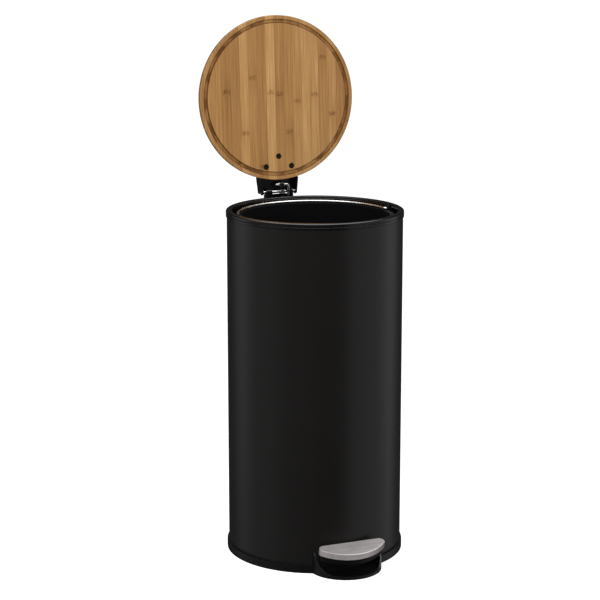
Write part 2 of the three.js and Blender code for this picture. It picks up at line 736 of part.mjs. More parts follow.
// Wire handle lying back on the bucket's rim, each end bent outwards through an ear.
function bailHandle() {
  const bend = 3;
  const legEnd = bucketTopRadius + bucketRim + 3.2;
  const start = Math.asin(bend / bailRadius);
  const sweep = Array.from({ length: 29 }, (_, i) => {
    const a = start + (i * (Math.PI - 2 * start)) / 28;
    return new THREE.Vector3(bailRadius * Math.cos(a), bailRadius * Math.sin(a), 0);
  });
  const right = WirePath.corner(
    new THREE.Vector3(legEnd, 0, 0), new THREE.Vector3(bailRadius, 0, 0),
    new THREE.Vector3(bailRadius, 10, 0), bend, 4,
  );
  const left = right.map((p) => new THREE.Vector3(-p.x, p.y, p.z)).reverse();
  const path = new WirePath([new THREE.Vector3(legEnd, 0, 0), new THREE.Vector3(-legEnd, 0, 0)], 0);
  path.points = [path.points[0], ...right.slice(0, -1), ...sweep, ...left.slice(1), path.points[1]];
  return wire(path, bailWire, 10);
}

// ---- assembly -------------------------------------------------------------------------------------------

piece('base', base(), plastics.black);
for (let i = 0; i < 4; i += 1) {
  const a = Math.PI / 4 + (i * Math.PI) / 2;
  piece(`foot_pad_${i + 1}`, footPad(), plastics.rubber, [footCircle * Math.cos(a), footCircle * Math.sin(a), 0]);
}
piece('foot_pad_centre', footPad(), plastics.rubber);

piece('outer_shell', outerShell(), metals.paint);
piece('top_ring', topRing(), plastics.black);
piece('rear_column', rearColumn(), plastics.black);
columnScrewHeights.forEach((z, i) => {
  piece(`column_screw_${i + 1}`, panScrew(columnBack - bodyRadius + 3), metals.steel, [0, columnBack + fit, z]);
});

piece('hinge_base', hingeBase(), plastics.gloss);
hingeScrews.forEach((x, i) => {
  const screw = panScrew(hingeScrewSeat - bodyRadius + 5.5);
  piece(`hinge_base_screw_${i + 1}`, screw, metals.steel, [x, hingeScrewSeat + fit, hingeScrewHeight]);
});
hingePins.forEach((span, i) => {
  piece(`hinge_pin_${i + 1}`, hingePin(span), metals.steel, [0, hingeY, hingeZ]);
});

piece('hinge_pin_collar', pinCollar(), metals.steel, [0, hingeY, hingeZ]);

lidPiece('lid_board', lidBoard(), bamboo);
lidPiece('lid_bracket', lidBracket(), plastics.gloss);
screwRows.forEach(([x, y], i) => {
  lidPiece(`lid_screw_${i + 1}`, geometryOf(lidScrew().translate(x, y, lidBottom)), plastics.black);
});

piece('lift_rod', liftRod(), metals.steel, [0, hingeY, rodFoot]);
piece('rod_clip_top', pinClip(rodRadius, 1.2, 1.4), metals.steel, [rodX - 18.8, hingeY, hingeZ + liftArm]);
piece('rod_clip_bottom', pinClip(rodRadius, 1.2), metals.steel, [rodX - 12, hingeY, rodFoot]);
piece('rod_collar', rodCollar(), metals.steel, [0, hingeY, damperBottom + damperLength + plungerOut + fit]);

piece('damper_body', damperBody(), metals.steel, [damperX, hingeY, 0]);
piece('damper_plunger', damperPlunger(), metals.steel, [damperX, hingeY, 0]);
piece('damper_clamp', damperClamp(), plastics.black, [damperX, hingeY, 0]);

piece('lever_bracket', leverBracket(), metals.steel);
leverBracketScrews.forEach((x, i) => {
  const screw = panScrew(3).rotateX(Math.PI / 2);
  piece(`lever_bracket_screw_${i + 1}`, screw, metals.steel, [x, 0, floorTop + fit + 2 + fit]);
});
piece('lever_pin', leverPin(), metals.steel, [0, 0, pivotZ]);
[-1, 1].forEach((side, i) => {
  piece(`lever_pin_clip_${i + 1}`, pinClip(leverPinRadius, 1.2), metals.steel, [side * 17.5, 0, pivotZ]);
});
piece('pedal_lever', pedalLever(), metals.steel, [0, 0, pivotZ], leverTilt);
piece('pedal_body', bodyOnLever(), plastics.black, [0, 0, pivotZ], leverTilt);
piece('pedal_cap', onPedal(pedalCap()), metals.brushed, [0, 0, pivotZ], leverTilt);
pedalScrewRows.forEach((y, i) => {
  piece(`pedal_screw_${i + 1}`, pedalScrew().translate(0, y, 0), metals.steel, [0, 0, pivotZ], leverTilt);
});

piece('inner_bucket', innerBucket(), plastics.bucket);
piece('bail_handle', bailHandle(), metals.steel, [0, 0, bailHeight]);

export default group;
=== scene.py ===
import json
import math

import bmesh
import bpy
from mathutils import Matrix, Vector


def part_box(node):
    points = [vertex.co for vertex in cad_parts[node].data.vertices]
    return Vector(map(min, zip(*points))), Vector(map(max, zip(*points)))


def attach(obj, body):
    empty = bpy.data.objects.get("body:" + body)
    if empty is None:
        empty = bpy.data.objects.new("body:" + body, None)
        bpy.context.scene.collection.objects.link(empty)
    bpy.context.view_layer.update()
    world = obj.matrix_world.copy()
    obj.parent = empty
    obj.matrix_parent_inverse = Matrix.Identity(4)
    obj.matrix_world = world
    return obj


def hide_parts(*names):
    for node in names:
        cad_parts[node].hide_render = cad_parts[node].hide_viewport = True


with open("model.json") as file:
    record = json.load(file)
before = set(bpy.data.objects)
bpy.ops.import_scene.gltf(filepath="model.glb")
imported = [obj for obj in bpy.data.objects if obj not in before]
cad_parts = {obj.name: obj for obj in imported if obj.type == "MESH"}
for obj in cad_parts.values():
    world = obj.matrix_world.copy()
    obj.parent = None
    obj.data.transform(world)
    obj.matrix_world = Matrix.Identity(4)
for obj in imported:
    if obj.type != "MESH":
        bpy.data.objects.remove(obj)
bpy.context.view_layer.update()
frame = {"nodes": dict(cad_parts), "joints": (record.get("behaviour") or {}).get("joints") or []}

# ---- Outer shell ----------------------------------------------------------------------------------------
# A tube rolled from 0.8 mm steel sheet and powder-coated in satin black. Its bottom edge stands in the
# base's groove, and the top ring is pressed over its top edge. The pedal's lever passes through a slot at
# the front and another at the back.


class Link:
    """An output socket that sums can be written with, or the start of a node graph."""

    def __init__(self, graph, socket=None):
        self.graph = graph
        self.socket = socket

    def node(self, kind, settings=None, inputs=None, out=0):
        """One of a new node's outputs, the node's settings made before its inputs."""
        made = self.graph.nodes.new(kind)
        for key, value in (settings or {}).items():
            if key == "stops":
                ramp = made.color_ramp
                while len(ramp.elements) < len(value):
                    ramp.elements.new(1)
                for element, (position, colour) in zip(ramp.elements, value):
                    element.position = position
                    element.color = (*colour, 1)
            elif key == "interpolation":
                made.color_ramp.interpolation = value
            else:
                setattr(made, key, value)
        for key, value in (inputs or {}).items():
            if isinstance(value, Link):
                self.graph.links.new(value.socket, made.inputs[key])
            else:
                made.inputs[key].default_value = value
        return Link(self.graph, made.outputs[out])

    def output(self, out):
        """Another output of the node that this one comes from."""
        return Link(self.graph, self.socket.node.outputs[out])

    def to_surface(self, kind="ShaderNodeOutputMaterial"):
        """Ends a material, or the world, in this shader."""
        self.graph.links.new(self.socket, self.graph.nodes.new(kind).inputs["Surface"])

    def maths(self, operation, *values):
        """An operation on the given numbers and links, or on this link alone if none are given."""
        return self.node("ShaderNodeMath", {"operation": operation}, dict(enumerate(values or (self,))))

    def __add__(self, other):
        return self.maths("ADD", self, other)

    def __sub__(self, other):
        return self.maths("SUBTRACT", self, other)

    def __mul__(self, other):
        return self.maths("MULTIPLY", self, other)

    def __truediv__(self, other):
        return self.maths("DIVIDE", self, other)

    def __rsub__(self, other):
        return self.maths("SUBTRACT", other, self)

    __radd__ = __add__
    __rmul__ = __mul__

    def mixed(self, first, second):
        """The first colour where this is 0, the second where it is 1."""
        colours = [c if isinstance(c, Link) else (*c, 1) for c in (first, second)]
        inputs = {0: self, 6: colours[0], 7: colours[1]}
        return self.node("ShaderNodeMix", {"data_type": "RGBA"}, inputs, out=2)

    def ramped(self, low, high):
        """0 below the low value, 1 above the high one, and smooth between them."""
        inputs = {0: self, 1: low, 2: high}
        return self.node("ShaderNodeMapRange", {"interpolation_type": "SMOOTHSTEP"}, inputs)


def new_finish(name):
    """A new material and the start of its node graph."""
    material = bpy.data.materials.new(name)
    material.use_nodes = True
    material.node_tree.nodes.clear()
    return material, Link(material.node_tree)


def place(tree, scale=(1, 1, 1)):
    """A point's place on the piece in metres, stretched by a scale along each axis."""
    spot = tree.node("ShaderNodeTexCoord", out=3)
    return tree.node("ShaderNodeVectorMath", {"operation": "MULTIPLY"}, {0: spot, 1: scale})


def noise(tree, scale, stretch=(1, 1, 1), detail=2, roughness=0.5):
    """Soft grey noise fixed to the piece, drawn out along an axis with a small stretch value."""
    return tree.node("ShaderNodeTexNoise", None, {
        "Vector": place(tree, stretch), "Scale": scale, "Detail": detail, "Roughness": roughness,
    })


def surface(tree, bump, height, distance, **sockets):
    """Ends a material in a surface with the given sockets and a fine relief."""
    normal = tree.node("ShaderNodeBump", None, {"Strength": bump, "Distance": distance, "Height": height})
    inputs = {key.replace("_", " "): value for key, value in sockets.items()}
    tree.node("ShaderNodeBsdfPrincipled", None, {**inputs, "Normal": normal}).to_surface()


def satin_paint():
    material, tree = new_finish("satin_black_powder_coat")
    peel = noise(tree, 420, detail=3)
    cloud = noise(tree, 7, detail=3)
    surface(
        tree, 0.12, peel, 0.0003,
        Base_Color=cloud.mixed((0.0058, 0.0052, 0.0049), (0.0078, 0.0071, 0.0067)),
        Roughness=0.30 + cloud * 0.04 + peel * 0.05,
        Specular_IOR_Level=0.5,
    )
    return material


def plain(piece):
    """Turns a piece and its modifiers into one plain mesh."""
    bpy.context.view_layer.update()
    state = bpy.context.evaluated_depsgraph_get()
    mesh = bpy.data.meshes.new_from_object(
        piece.evaluated_get(state), preserve_all_data_layers=True, depsgraph=state,
    )
    mesh.name = piece.name
    piece.modifiers.clear()
    piece.data = mesh
    return piece


def new_piece(name, mesh):
    piece = bpy.data.objects.new(name, mesh)
    bpy.context.scene.collection.objects.link(piece)
    return piece


def from_form(name, form):
    """A new piece with the mesh of a worked form."""
    mesh = bpy.data.meshes.new(name)
    form.to_mesh(mesh)
    form.free()
    return new_piece(name, mesh)


def softened(node, edge, segments=2, angle=32):
    """A copy of a node's solid with every hard edge broken to a small radius."""
    form = bmesh.new()
    form.from_mesh(frame["nodes"][node].data)
    bmesh.ops.remove_doubles(form, verts=form.verts, dist=2e-6)
    bmesh.ops.dissolve_limit(form, angle_limit=math.radians(0.5), verts=form.verts, edges=form.edges)
    for face in form.faces:
        face.smooth = True
    piece = from_form(f"{node}_finished", form)
    bevel = piece.modifiers.new("edge", "BEVEL")
    bevel.width = edge
    bevel.segments = segments
    bevel.limit_method = "ANGLE"
    bevel.angle_limit = math.radians(angle)
    flat = piece.modifiers.new("flat", "WEIGHTED_NORMAL")
    flat.mode = "FACE_AREA"
    flat.weight = 100
    return plain(piece)


def fit(piece, body, nodes, material):
    """Gives a piece its finish, and puts it on its body in place of its nodes."""
    piece.data.materials.clear()
    piece.data.materials.append(material)
    piece.data.polygons.foreach_set("material_index", [0] * len(piece.data.polygons))
    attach(piece, body)
    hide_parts(*nodes)
    return piece


def rounded(corners, closed=True):
    """A profile in mm with each [radius, height, rounding] corner turned to its own rounding."""
    steps = 4
    points = []
    count = len(corners)
    for i, (r, z, radius) in enumerate(corners):
        at = Vector((r, z))
        if radius == 0 or (not closed and i in (0, count - 1)):
            points.append(at)
            continue
        before = Vector(corners[i - 1][:2]) - at
        after = Vector(corners[(i + 1) % count][:2]) - at
        half = before.angle(after) / 2
        reach = min(radius / math.tan(half), before.length * 0.48, after.length * 0.48)
        radius = reach * math.tan(half)
        centre = at + (before.normalized() + after.normalized()).normalized() * (radius / math.sin(half))
        start = at + before.normalized() * reach - centre
        sweep = start.angle_signed(at + after.normalized() * reach - centre)
        hold = min(reach * 0.5, 0.25)
        points.append(at + before.normalized() * (reach + hold))
        for step in range(steps + 1):
            turn = Matrix.Rotation(-sweep * step / steps, 2)
            points.append(centre + turn @ start)
        points.append(at + after.normalized() * (reach + hold))
    return points


def turned(name, points, closed=True, segments=192):
    """A profile in mm turned about the bin's axis."""
    form = bmesh.new()
    rings = []
    for r, z in points:
        if r < 1e-6:
            rings.append([form.verts.new((0, 0, z / 1000))] * segments)
            continue
        rings.append([
            form.verts.new((r * math.cos(a) / 1000, r * math.sin(a) / 1000, z / 1000))
            for a in (2 * math.pi * k / segments for k in range(segments))
        ])
    pairs = list(zip(rings, rings[1:] + rings[:1])) if closed else list(zip(rings, rings[1:]))
    for low, high in pairs:
        for k in range(segments):
            corner = [low[k], low[(k + 1) % segments], high[(k + 1) % segments], high[k]]
            corner = list(dict.fromkeys(corner))
            if len(corner) > 2:
                form.faces.new(corner)
    bmesh.ops.remove_doubles(form, verts=form.verts, dist=1e-7)
    bmesh.ops.recalc_face_normals(form, faces=form.faces)
    for face in form.faces:
        face.smooth = True
    piece = from_form(name, form)
    piece.data.set_sharp_from_angle(angle=math.radians(50))
    return piece


def cut(piece, *cutters):
    """Takes the cutters' solids out of a piece."""
    for cutter in cutters:
        hole = piece.modifiers.new("cut", "BOOLEAN")
        hole.operation = "DIFFERENCE"
        hole.solver = "EXACT"
        hole.object = cutter
    plain(piece)
    for cutter in cutters:
        bpy.data.objects.remove(cutter)
    return piece


def block(name, half, centre):
    """A plain block in mm, for cutting with."""
    form = bmesh.new()
    bmesh.ops.create_cube(form, size=2)
    bmesh.ops.scale(form, vec=Vector(half) / 1000, verts=form.verts)
    bmesh.ops.translate(form, vec=Vector(centre) / 1000, verts=form.verts)
    return from_form(name, form)


tube = 146
tube_inner = tube - 0.8
tube_edge = 0.3
tube_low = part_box("outer_shell")[0].z * 1000
tube_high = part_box("outer_shell")[1].z * 1000
tube_middle = 300
slot_middle = 33
slot_half_width = 13.5
slot_half_height = 9.96
slot_margin = slot_half_height + 3
tube_profile = [
    (tube, tube_low + tube_edge), (tube, slot_middle - slot_margin), (tube, slot_middle + slot_margin),
    (tube, tube_middle), (tube, tube_high), (tube_inner, tube_high), (tube_inner, tube_middle),
    (tube_inner, slot_middle + slot_margin), (tube_inner, slot_middle - slot_margin), (tube_inner, tube_low),
    (tube - tube_edge, tube_low),
]
shell = turned("outer_shell_finished", tube_profile)
screw_places = ((0, 60), (0, 480), (-24, 555), (24, 555))
screw_hole_radius = 2.3


def screw_hole(x, z):
    """A drill along Y through the back of the tube."""
    near, far = tube - 16, tube + 14
    profile = ((0, near), (screw_hole_radius, near), (screw_hole_radius, far), (0, far))
    drill = turned("drill", profile, closed=False, segments=32)
    drill.data.transform(Matrix.Translation((x / 1000, 0, z / 1000)) @ Matrix.Rotation(-math.pi / 2, 4, "X"))
    return drill


cut(
    shell,
    *[block("slot", (slot_half_width, 10, slot_half_height), (0, y, slot_middle)) for y in (-tube, tube)],
    *[screw_hole(x, z) for x, z in screw_places],
)
shell.data.set_sharp_from_angle(angle=math.radians(50))
fit(shell, "bin", ["outer_shell"], satin_paint())

# ---- Top ring -------------------------------------------------------------------------------------------
# One black moulding over the tube's raw edge: two round beads outside with a groove between them, a soft
# top, and a lip inside that the bucket's rim hangs within.


def grained_plastic(name, dark, light, gloss, grain=2600, depth=0.10, shine=0.5):
    """Moulded plastic from a tool with a fine spark-eroded grain."""
    material, tree = new_finish(name)
    sand = noise(tree, grain, detail=2)
    cloud = noise(tree, 18, detail=3)
    surface(
        tree, depth, sand, 0.0002,
        Base_Color=cloud.mixed(dark, light),
        Roughness=gloss + cloud * 0.05 + sand * 0.08,
        Specular_IOR_Level=shine,
    )
    return material


ring_plastic = grained_plastic(
    "black_ring_plastic", (0.0020, 0.0019, 0.0019), (0.0034, 0.0032, 0.0031), gloss=0.15, depth=0.03,
)
ring_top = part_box("top_ring")[1].z * 1000
ring_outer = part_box("top_ring")[1].x * 1000
ring_low = ring_top - 10.5
ring_inner = tube - 9
ring_lip_low = ring_low - 4
groove_top = ring_top - 5.5
ring_profile = [
    [ring_inner, ring_lip_low, 0.6], [ring_inner + 2, ring_lip_low, 0.6], [tube - 2.1, ring_low, 0],
    [tube - 1.1, ring_low, 0], [tube - 1.1, groove_top, 0], [tube + 0.3, groove_top, 0],
    [tube + 0.3, ring_low, 0], [ring_outer, ring_low, 1.4], [ring_outer, ring_low + 4.2, 1.4],
    [ring_outer - 1.1, ring_low + 4.4, 0.3], [ring_outer, ring_low + 4.7, 0.9], [ring_outer, ring_top, 2.4],
    [ring_inner, ring_top, 1.8],
]
ring = turned("top_ring_finished", rounded(ring_profile))
fit(ring, "bin", ["top_ring"], ring_plastic)

# ---- Base and pedal guard -------------------------------------------------------------------------------
# One moulding that holds the tube's lower edge, carries the lever's bracket and reaches forward in a
# round guard that stops the pedal from scuffing the floor. Five rubber pads are pressed in under it.

black_plastic = grained_plastic(
    "black_moulded_plastic", (0.0024, 0.0023, 0.0022), (0.0040, 0.0038, 0.0037), gloss=0.32, shine=0.4,
)
fit(softened("base", 0.0005), "bin", ["base"], black_plastic)


def rubber():
    material, tree = new_finish("black_rubber")
    dust = noise(tree, 900, detail=3)
    surface(
        tree, 0.2, dust, 0.0003,
        Base_Color=dust.mixed((0.010, 0.010, 0.010), (0.020, 0.019, 0.018)),
        Roughness=0.7 + dust * 0.2,
    )
    return material


def shape_rule(name, inputs):
    """An empty Geometry Nodes rule: its graph, its inputs as links, and their keys on a modifier."""
    group = bpy.data.node_groups.new(name, "GeometryNodeTree")
    keys = {}
    for label, kind in (("Geometry", "NodeSocketGeometry"), *inputs):
        keys[label] = group.interface.new_socket(label, in_out="INPUT", socket_type=kind).identifier
    group.interface.new_socket("Geometry", in_out="OUTPUT", socket_type="NodeSocketGeometry")
    given = group.nodes.new("NodeGroupInput")
    return Link(group), {label: Link(group, given.outputs[label]) for label in keys}, keys


def end_rule(tree, geometry, material):
    """Ends a rule in real geometry with its finish on."""
    solid = tree.node("GeometryNodeRealizeInstances", None, {"Geometry": geometry})
    done = tree.node("GeometryNodeSetMaterial", None, {"Geometry": solid, "Material": material})
    tree.graph.links.new(done.socket, tree.graph.nodes.new("NodeGroupOutput").inputs["Geometry"])
    return tree.graph


def shaped(name, points, edges, rule, values):
    """A plain mesh that a rule makes from points in metres and the edges between them."""
    group, keys = rule
    mesh = bpy.data.meshes.new(name)
    mesh.from_pydata(points, edges, [])
    piece = new_piece(name, mesh)
    run = piece.modifiers.new("rule", "NODES")
    run.node_group = group
    for label, value in values.items():
        run[keys[label]] = value
    piece.update_tag()
    return plain(piece)


def repeat_rule():
    """Copies a shape onto each point, turned to face one way and then spun about itself by a random angle."""
    tree, given, keys = shape_rule("shape_on_points", (
        ("Shape", "NodeSocketObject"), ("Facing", "NodeSocketVector"), ("Spin", "NodeSocketFloat"),
        ("Seed", "NodeSocketInt"), ("Finish", "NodeSocketMaterial"),
    ))
    shape = tree.node("GeometryNodeObjectInfo", None, {"Object": given["Shape"]}, out="Geometry")
    copies = tree.node("GeometryNodeInstanceOnPoints", None, {
        "Points": given["Geometry"], "Instance": shape, "Rotation": given["Facing"],
    })
    angle = tree.node("FunctionNodeRandomValue", {"data_type": "FLOAT"}, {
        2: 0.0, 3: given["Spin"], "Seed": given["Seed"],
    }, out=1)
    spin = tree.node("ShaderNodeCombineXYZ", None, {"Z": angle})
    spun = tree.node("GeometryNodeRotateInstances", None, {"Instances": copies, "Rotation": spin})
    return end_rule(tree, spun, given["Finish"]), keys


copies_on_points = repeat_rule()


def repeated(name, points, shape, material, facing=(0, 0, 0), spin=0.0, seed=1):
    """One plain mesh of a shape on every point, and the shape itself is thrown away."""
    piece = shaped(name, points, [], copies_on_points, {
        "Shape": shape, "Facing": facing, "Spin": spin, "Seed": seed, "Finish": material,
    })
    bpy.data.objects.remove(shape)
    return piece


def middle(node):
    low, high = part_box(node)
    return (low + high) / 2


pad_profile = [
    [0, 0.5, 0], [1.6, 0.5, 0], [2.4, 0, 0.3], [3.6, 0, 0.3], [4.2, 0.5, 0], [5.0, 0.5, 0], [5.6, 0, 0.3],
    [8.8, 0, 0.6], [9.0, 1.9, 0.2], [0, 1.9, 0],
]
pad = turned("pad", rounded(pad_profile, closed=False), closed=False, segments=40)
pad_nodes = ["foot_pad_1", "foot_pad_2", "foot_pad_3", "foot_pad_4", "foot_pad_centre"]
pad_points = [(middle(node).x, middle(node).y, 0) for node in pad_nodes]
pad_rubber = rubber()
fit(repeated("foot_pads_finished", pad_points, pad, pad_rubber), "bin", pad_nodes, pad_rubber)

# ---- Rear column and hinge base -------------------------------------------------------------------------
# A channel moulding hides the lift rod up the back. Above it a glossy block carries two knuckles for the
# hinge pin. Both are held to the tube by cross-head screws driven in from behind.


def gloss_plastic():
    material, tree = new_finish("black_gloss_plastic")
    sink = noise(tree, 55, detail=2)
    haze = noise(tree, 240, detail=3)
    surface(
        tree, 0.05, sink, 0.001,
        Base_Color=haze.mixed((0.0018, 0.0018, 0.0018), (0.0030, 0.0029, 0.0030)),
        Roughness=0.15 + haze * 0.08,
        Specular_IOR_Level=0.35,
    )
    return material


def plated_steel():
    material, tree = new_finish("zinc_plated_steel")
    bloom = noise(tree, 130, detail=4)
    scratch = noise(tree, 700, (1, 1, 0.1), detail=2)
    surface(
        tree, 0.05, scratch, 0.0002,
        Base_Color=bloom.mixed((0.84, 0.835, 0.82), (0.95, 0.945, 0.935)),
        Metallic=1.0,
        Roughness=0.18 + bloom * 0.12 + scratch * 0.05,
    )
    return material


black_gloss = gloss_plastic()
steel = plated_steel()
fit(softened("rear_column", 0.0005), "bin", ["rear_column"], black_plastic)
fit(softened("hinge_base", 0.0006), "bin", ["hinge_base"], black_gloss)


pan_head = 2.5


def crossed(screw, reach, half_width, depth, at):
    """Cuts a cross slot into a screw's head."""
    arms = (reach, half_width, depth), (half_width, reach, depth)
    cut(screw, *[block("slot", half, (0, 0, at)) for half in arms])
    screw.data.set_sharp_from_angle(angle=math.radians(40))
    return screw


def pan_screw(length):
    """A cross-head screw with its head along +Z and its seat at the origin."""
    profile = [
        [0, -length, 0], [1.2, -length, 0], [2.0, -length + 1.6, 0], [2.0, 0, 0], [4.0, 0, 0.2],
        [4.0, 1.2, 0.9], [2.6, pan_head, 0.9], [0, pan_head, 0],
    ]
    screw = turned("screw", rounded(profile, closed=False), closed=False, segments=40)
    return crossed(screw, 2.1, 0.42, 0.9, 2.2)


def seats(nodes, axis):
    """The seat point of each screw node: the end on its head's side, less the head's height."""
    points = []
    for node in nodes:
        at = middle(node)
        at[axis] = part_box(node)[1][axis] - pan_head / 1000
        points.append(tuple(at))
    return points


y_axis, z_axis = 1, 2
facing_back = (-math.pi / 2, 0, 0)
for label, length in (("column", 37), ("hinge_base", 25)):
    nodes = [f"{label}_screw_1", f"{label}_screw_2"]
    screws = repeated(
        f"{label}_screws_finished", seats(nodes, y_axis), pan_screw(length), steel,
        facing_back, spin=math.pi, seed=3,
    )
    fit(screws, "bin", nodes, steel)

for node in ("hinge_pin_1", "hinge_pin_2", "hinge_pin_collar"):
    fit(softened(node, 0.0005, 3), "bin", [node], steel)

# ---- Lid ------------------------------------------------------------------------------------------------
# A 12 mm disc glued up from upright bamboo strips, lacquered, with a routed groove near the edge of its
# underside and a round upper edge. Three countersunk screws go up through it into the glossy bracket.

lid_radius = 140.5
lid_low = 582.4
lid_thickness = 12
groove_inner = 127
groove_outer = 133.5
groove_depth = 3.5
hinge = next(joint for joint in frame["joints"] if joint["name"] == "lid_hinge")
hinge_at = Vector(hinge["pos_m"])
open_angle = math.radians(hinge["range_deg"][0])
opened = Matrix.Translation(hinge_at) @ Matrix.Rotation(open_angle, 4, "X") @ Matrix.Translation(-hinge_at)
lid_centre = opened @ Vector((0, 0, lid_low / 1000))
strip_width = 0.0162
first_strip = -0.1492
node_spacing = 0.26
strip_shades = (
    0.90, 0.99, 0.96, 0.88, 0.90, 1.11, 0.96, 0.91, 1.17, 0.93, 0.95, 1.03, 1.11, 1.09, 0.97, 1.07, 0.88,
    0.95, 1.0,
)


def grain(tree, spot, stretch, scale, detail):
    """Noise drawn out along the strips."""
    return tree.node("ShaderNodeTexNoise", None, {
        "Vector": tree.node("ShaderNodeVectorMath", {"operation": "MULTIPLY"}, {0: spot, 1: (1, 1, stretch)}),
        "Scale": scale, "Detail": detail, "Roughness": 0.6,
    })


def band(distance, clear, full, ends, gone):
    """0 up to a distance in mm, 1 from the next, and back from 1 to 0 between the last two."""
    return distance.ramped(clear / 1000, full / 1000) * (1 - distance.ramped(ends / 1000, gone / 1000))


def bamboo():
    material, tree = new_finish("lacquered_bamboo")
    across = tree.node("ShaderNodeSeparateXYZ", None, {0: tree.node("ShaderNodeTexCoord", out=3)})
    along = across.output(2)
    wander = noise(tree, 3, (0.2, 1, 1)) * 0.03
    strips = (across - first_strip) / strip_width + wander
    number = strips.maths("FLOOR")
    inside = strips.maths("FRACT")
    turn = (number + 0.5) / len(strip_shades)
    shade = tree.node("ShaderNodeValToRGB", {
        "stops": [(i / len(strip_shades), (s * 0.5,) * 3) for i, s in enumerate(strip_shades)],
        "interpolation": "CONSTANT",
    }, {0: turn}) * 2
    luck = tree.node("ShaderNodeTexWhiteNoise", {"noise_dimensions": "1D"}, {"W": number})
    drift = tree.node("ShaderNodeCombineXYZ", None, {0: across, 2: along + luck * 3})
    fibre = grain(tree, drift, 0.010, 1300, 4)
    streak = grain(tree, drift, 0.016, 330, 3)
    vein = grain(tree, drift, 0.006, 2900, 2).ramped(0.58, 0.74)
    seam = 1 - inside.ramped(0.0, 0.04) * (1 - inside.ramped(0.96, 1.0))
    step = along / node_spacing + luck * 7 + streak * 0.02
    from_node = (step.maths("FRACT") - 0.5).maths("ABSOLUTE")
    mottle = noise(tree, 700, (0.8, 1, 1.3), 3).ramped(0.40, 0.62)
    marked = luck.ramped(0.25, 0.45)
    across_strip = inside.ramped(0.02, 0.2) * (1 - inside.ramped(0.8, 0.98))
    knot = (1 - from_node.ramped(0.004, 0.022)) * across_strip * mottle
    shadow = (1 - from_node.ramped(0.01, 0.16)) * marked * 0.06
    figure = 1 + (fibre - 0.5) * 0.95 + (streak - 0.5) * 0.60 - shadow - vein * 0.10
    tone = shade * figure * (1 - seam * 0.14) * (1 - knot * marked * 0.46)
    off_centre = tree.node("ShaderNodeVectorMath", {"operation": "DISTANCE"}, {
        0: place(tree, (1, 0, 1)), 1: (0, 0, lid_centre.z),
    }, out="Value")
    near, far = groove_inner, groove_outer
    # Partly painted shade and partly burn: the groove's floor is darkened all round as painted shade in the
    # recess, and darker still in patches of router burn.
    groove_floor_shade_and_burn = band(off_centre, near - 0.4, near + 0.4, far - 0.4, far + 0.4)
    # Painted shadow: dark rings all round where the groove's inner and outer walls meet its floor, standing
    # in for the shade the walls cast.
    inner_wall_painted_shadow = band(off_centre, near - 0.6, near + 0.1, near + 0.4, near + 1.4)
    outer_wall_painted_shadow = band(off_centre, far - 1.1, far - 0.3, far + 0.1, far + 0.9)
    burnt = noise(tree, 45, detail=3).ramped(0.48, 0.66)
    tone = tone * (1 - groove_floor_shade_and_burn * (0.20 + burnt * 0.34)) * (1 - inner_wall_painted_shadow * 0.50) * (1 - outer_wall_painted_shadow * 0.30)
    warm = tree.node("ShaderNodeValToRGB", {"stops": [
        (0, (0, 0, 0)), (0.35, (0.175, 0.072, 0.019)), (0.62, (0.415, 0.215, 0.073)), (1, (0.78, 0.48, 0.21)),
    ]}, {0: tone * 0.62})
    surface(
        tree, 0.10, fibre * 0.6 + (1 - seam) * 0.6, 0.0003,
        Base_Color=warm,
        Roughness=0.40 + fibre * 0.12,
        Coat_Weight=0.25,
        Coat_Roughness=0.22,
        Specular_IOR_Level=0.4,
    )
    return material


lid_high = lid_low + lid_thickness
groove_floor = lid_low + groove_depth
board_profile = [
    [0, lid_low, 0], [groove_inner, lid_low, 0.5], [groove_inner, groove_floor, 0.5],
    [groove_outer, groove_floor, 0.5], [groove_outer, lid_low, 0.5], [lid_radius, lid_low, 1.4],
    [lid_radius, lid_high, 4.5], [0, lid_high, 0],
]
board = turned("lid_board_finished", rounded(board_profile, closed=False), closed=False, segments=224)
lid_screw_places = [(0, 100), (-23.5, 117.5), (23.5, 117.5)]


def sink_hole(x, y):
    """The tapered hole a lid screw sits in, larger than the screw all round."""
    profile = [
        (0, lid_low - 1), (5.4, lid_low - 1), (5.15, lid_low + 0.35), (2.3, lid_low + 3.2),
        (2.3, lid_high + 1), (0, lid_high + 1),
    ]
    hole = turned("hole", profile, closed=False, segments=40)
    hole.data.transform(Matrix.Translation((x / 1000, y / 1000, 0)))
    return hole


cut(board, *[sink_hole(x, y) for x, y in lid_screw_places])
board.data.transform(opened)
board.data.set_sharp_from_angle(angle=math.radians(50))
fit(board, "lid", ["lid_board"], bamboo())
fit(softened("lid_bracket", 0.0007, 3), "lid", ["lid_bracket"], black_gloss)


def blackened_steel():
    material, tree = new_finish("blackened_screw_steel")
    wear = noise(tree, 600, detail=3)
    surface(
        tree, 0.1, wear, 0.0002,
        Base_Color=wear.mixed((0.010, 0.009, 0.009), (0.030, 0.028, 0.026)),
        Metallic=0.6,
        Roughness=0.32 + wear * 0.15,
    )
    return material


def countersunk_screw():
    """A cross-head screw with a flat tapered head, facing -Z with its face at the origin."""
    profile = [
        [0, 0.15, 0], [4.65, 0.15, 0.15], [4.8, 0.5, 0.1], [2.0, 3.3, 0], [2.0, 15, 0.3], [0.6, 16.5, 0],
        [0, 16.5, 0],
    ]
    screw = turned("screw", rounded(profile, closed=False), closed=False, segments=48)
    return crossed(screw, 2.2, 0.5, 1.2, 0.1)


